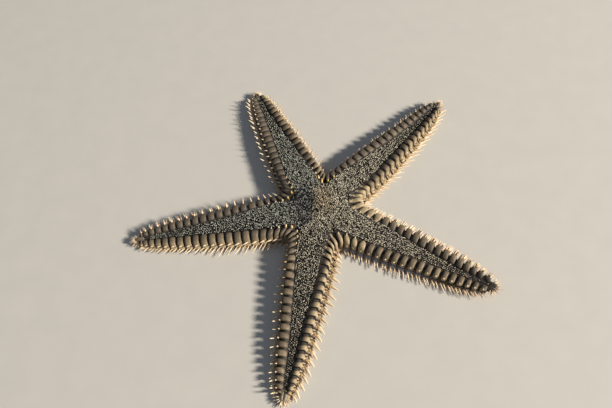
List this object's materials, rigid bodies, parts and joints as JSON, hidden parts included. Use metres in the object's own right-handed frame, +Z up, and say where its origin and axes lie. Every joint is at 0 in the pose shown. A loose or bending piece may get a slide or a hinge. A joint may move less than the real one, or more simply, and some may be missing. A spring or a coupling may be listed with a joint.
{
  "type": "sea star",
  "caption": "Flat five-armed sea star with blocky marginal plates, a grainy back and a fringe of short pointed spines.",
  "frame": {"origin": "centre of the whole star's box, at the level of the underside that it rests on", "axes": "+Z up, out of the back. -Y towards the side that the picture was taken from, so the near arm points mostly along -Y, the left arm along -X, and the other three up and to the right"},
  "size_m": [0.1183, 0.1228, 0.0075],
  "materials": {
    "skin": "matte khaki-brown limy plates with dark grooves and pale pinkish spines",
    "field": "matt dark grey skin packed with tiny grey-beige spinelets",
    "tip": "nearly black, slightly damp end plate",
    "jaw": "pale cream limy plates",
    "sieve": "pale tan limy plate with fine winding grooves"
  },
  "bodies": {
    "root": {"disc": "field", "sieve_plate": "sieve", "jaw_1": "jaw", "jaw_2": "jaw", "jaw_3": "jaw", "jaw_4": "jaw", "jaw_5": "jaw", "arm_far_left": "skin", "arm_far_right": "skin", "arm_right": "skin", "arm_near": "skin", "arm_left": "skin", "arm_far_left_tip": "tip", "arm_far_right_tip": "tip", "arm_right_tip": "tip", "arm_near_tip": "tip", "arm_left_tip": "tip"}
  },
  "joints": []
}
